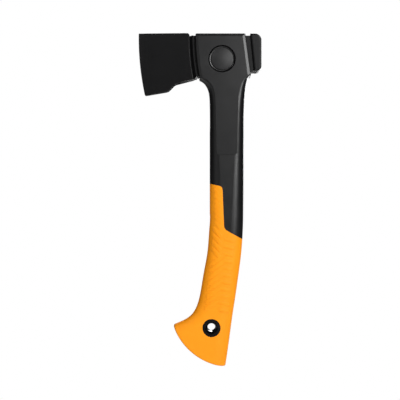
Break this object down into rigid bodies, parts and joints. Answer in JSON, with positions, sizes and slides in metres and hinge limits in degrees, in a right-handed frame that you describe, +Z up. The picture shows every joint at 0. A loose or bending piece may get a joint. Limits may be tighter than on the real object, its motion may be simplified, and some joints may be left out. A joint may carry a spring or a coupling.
{
  "type": "hatchet",
  "caption": "Small one-hand hatchet with a moulded handle round a coated steel head, a soft grip with a hooked butt and lanyard eyelet, and a slide-off blade guard.",
  "frame": {"origin": "on the shaft's centreline at the middle of the hand's hold, halfway through the handle's thickness", "axes": "+Z up the handle to the head, +X back to the poll so that the cutting edge faces -X, Y across the tool, which is alike on both sides"},
  "size_m": [0.131, 0.0298, 0.3556],
  "materials": {
    "coated_steel": "dark low-friction coating on forged steel",
    "nylon": "fine matte, glass-filled nylon",
    "eyelet_black": "gloss",
    "soft_grip": "soft matte with a fine herringbone of ribs",
    "guard_black": "smooth matte"
  },
  "bodies": {
    "hatchet": {"axe_head": "coated_steel", "handle_core": "nylon", "bore_plug_left": "nylon", "bore_plug_right": "nylon", "butt_insert": "nylon", "lanyard_eyelet": "eyelet_black", "grip_sleeve": "soft_grip"},
    "guard": {"blade_guard": "guard_black"}
  },
  "joints": [
    {"name": "guard_slide", "type": "slide", "parent": "hatchet", "child": "guard", "axis": [-1, 0, 0], "range_m": [0, 0.075]}
  ]
}
